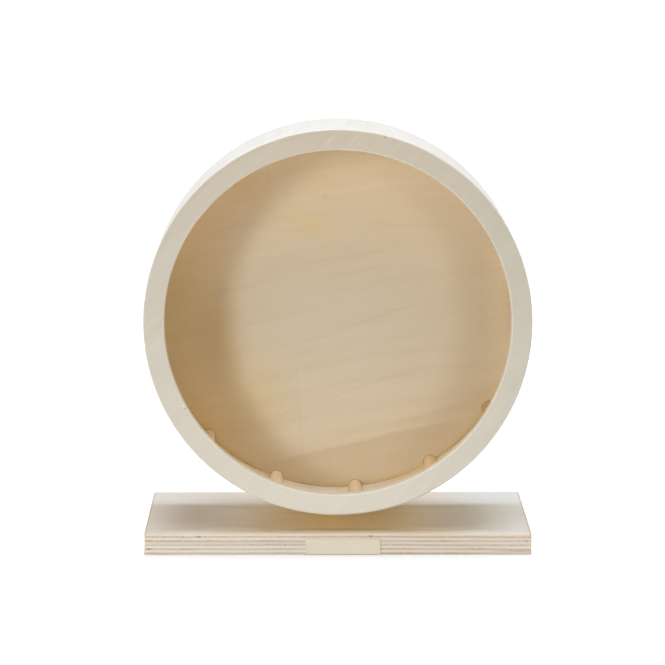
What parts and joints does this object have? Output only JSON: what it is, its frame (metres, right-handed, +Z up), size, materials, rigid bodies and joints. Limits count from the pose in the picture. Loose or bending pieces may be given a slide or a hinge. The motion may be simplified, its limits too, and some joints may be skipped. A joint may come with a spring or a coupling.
{
  "type": "rodent exercise wheel",
  "caption": "Wooden running wheel for small pets: a rebated drum with half-round rungs that turns on ball bearings in a plywood upright on a flat base board.",
  "frame": {"origin": "on the floor, under the middle of the whole part's bounding box", "axes": "+Z up; the drum's open side and the base board's plated edge face -Y; +X is to the right seen from the front; the axle lies along Y"},
  "size_m": [0.28, 0.1616, 0.307],
  "materials": {
    "plywood": "sanded, bare birch plywood",
    "ring_wood": "sanded, bare poplar",
    "veneer": "smooth, bare veneered ply",
    "rung_wood": "smooth, bare beech",
    "plate_wood": "smooth, bare",
    "zinc_steel": "zinc plated",
    "bright_steel": "ground bright"
  },
  "bodies": {
    "stand": {"base_board": "plywood", "blank_plate": "plate_wood", "upright": "plywood", "foot_screws": "zinc_steel", "front_outer_race": "bright_steel", "front_shields": "zinc_steel", "rear_outer_race": "bright_steel", "rear_shields": "zinc_steel"},
    "wheel": {"front_ring": "ring_wood", "running_sheet": "veneer", "back_panel": "veneer", "rung_01": "rung_wood", "rung_02": "rung_wood", "rung_03": "rung_wood", "rung_04": "rung_wood", "rung_05": "rung_wood", "rung_06": "rung_wood", "rung_07": "rung_wood", "rung_08": "rung_wood", "rung_09": "rung_wood", "rung_10": "rung_wood", "rung_11": "rung_wood", "rung_12": "rung_wood", "rung_13": "rung_wood", "rung_14": "rung_wood", "hub_block": "plywood", "axle_bolt": "zinc_steel", "hub_spacer": "zinc_steel", "race_spacer": "zinc_steel", "rear_washer": "zinc_steel", "cap_nut": "bright_steel", "front_inner_race": "bright_steel", "rear_inner_race": "bright_steel"},
    "front_ball_train": {"front_balls": "bright_steel", "front_cage": "zinc_steel"},
    "rear_ball_train": {"rear_balls": "bright_steel", "rear_cage": "zinc_steel"}
  },
  "joints": [
    {"name": "wheel_spin", "type": "hinge", "parent": "stand", "child": "wheel", "pos_m": [0, 0.05125, 0.167], "axis": [0, 1, 0], "continuous": true},
    {"name": "front_balls_roll", "type": "hinge", "parent": "stand", "child": "front_ball_train", "pos_m": [0, 0.04725, 0.167], "axis": [0, 1, 0], "continuous": true},
    {"name": "rear_balls_roll", "type": "hinge", "parent": "stand", "child": "rear_ball_train", "pos_m": [0, 0.05525, 0.167], "axis": [0, 1, 0], "continuous": true}
  ],
  "couplings": [
    {"joint": "front_balls_roll", "follows": "wheel_spin", "ratio": 0.3677},
    {"joint": "rear_balls_roll", "follows": "wheel_spin", "ratio": 0.3677}
  ]
}
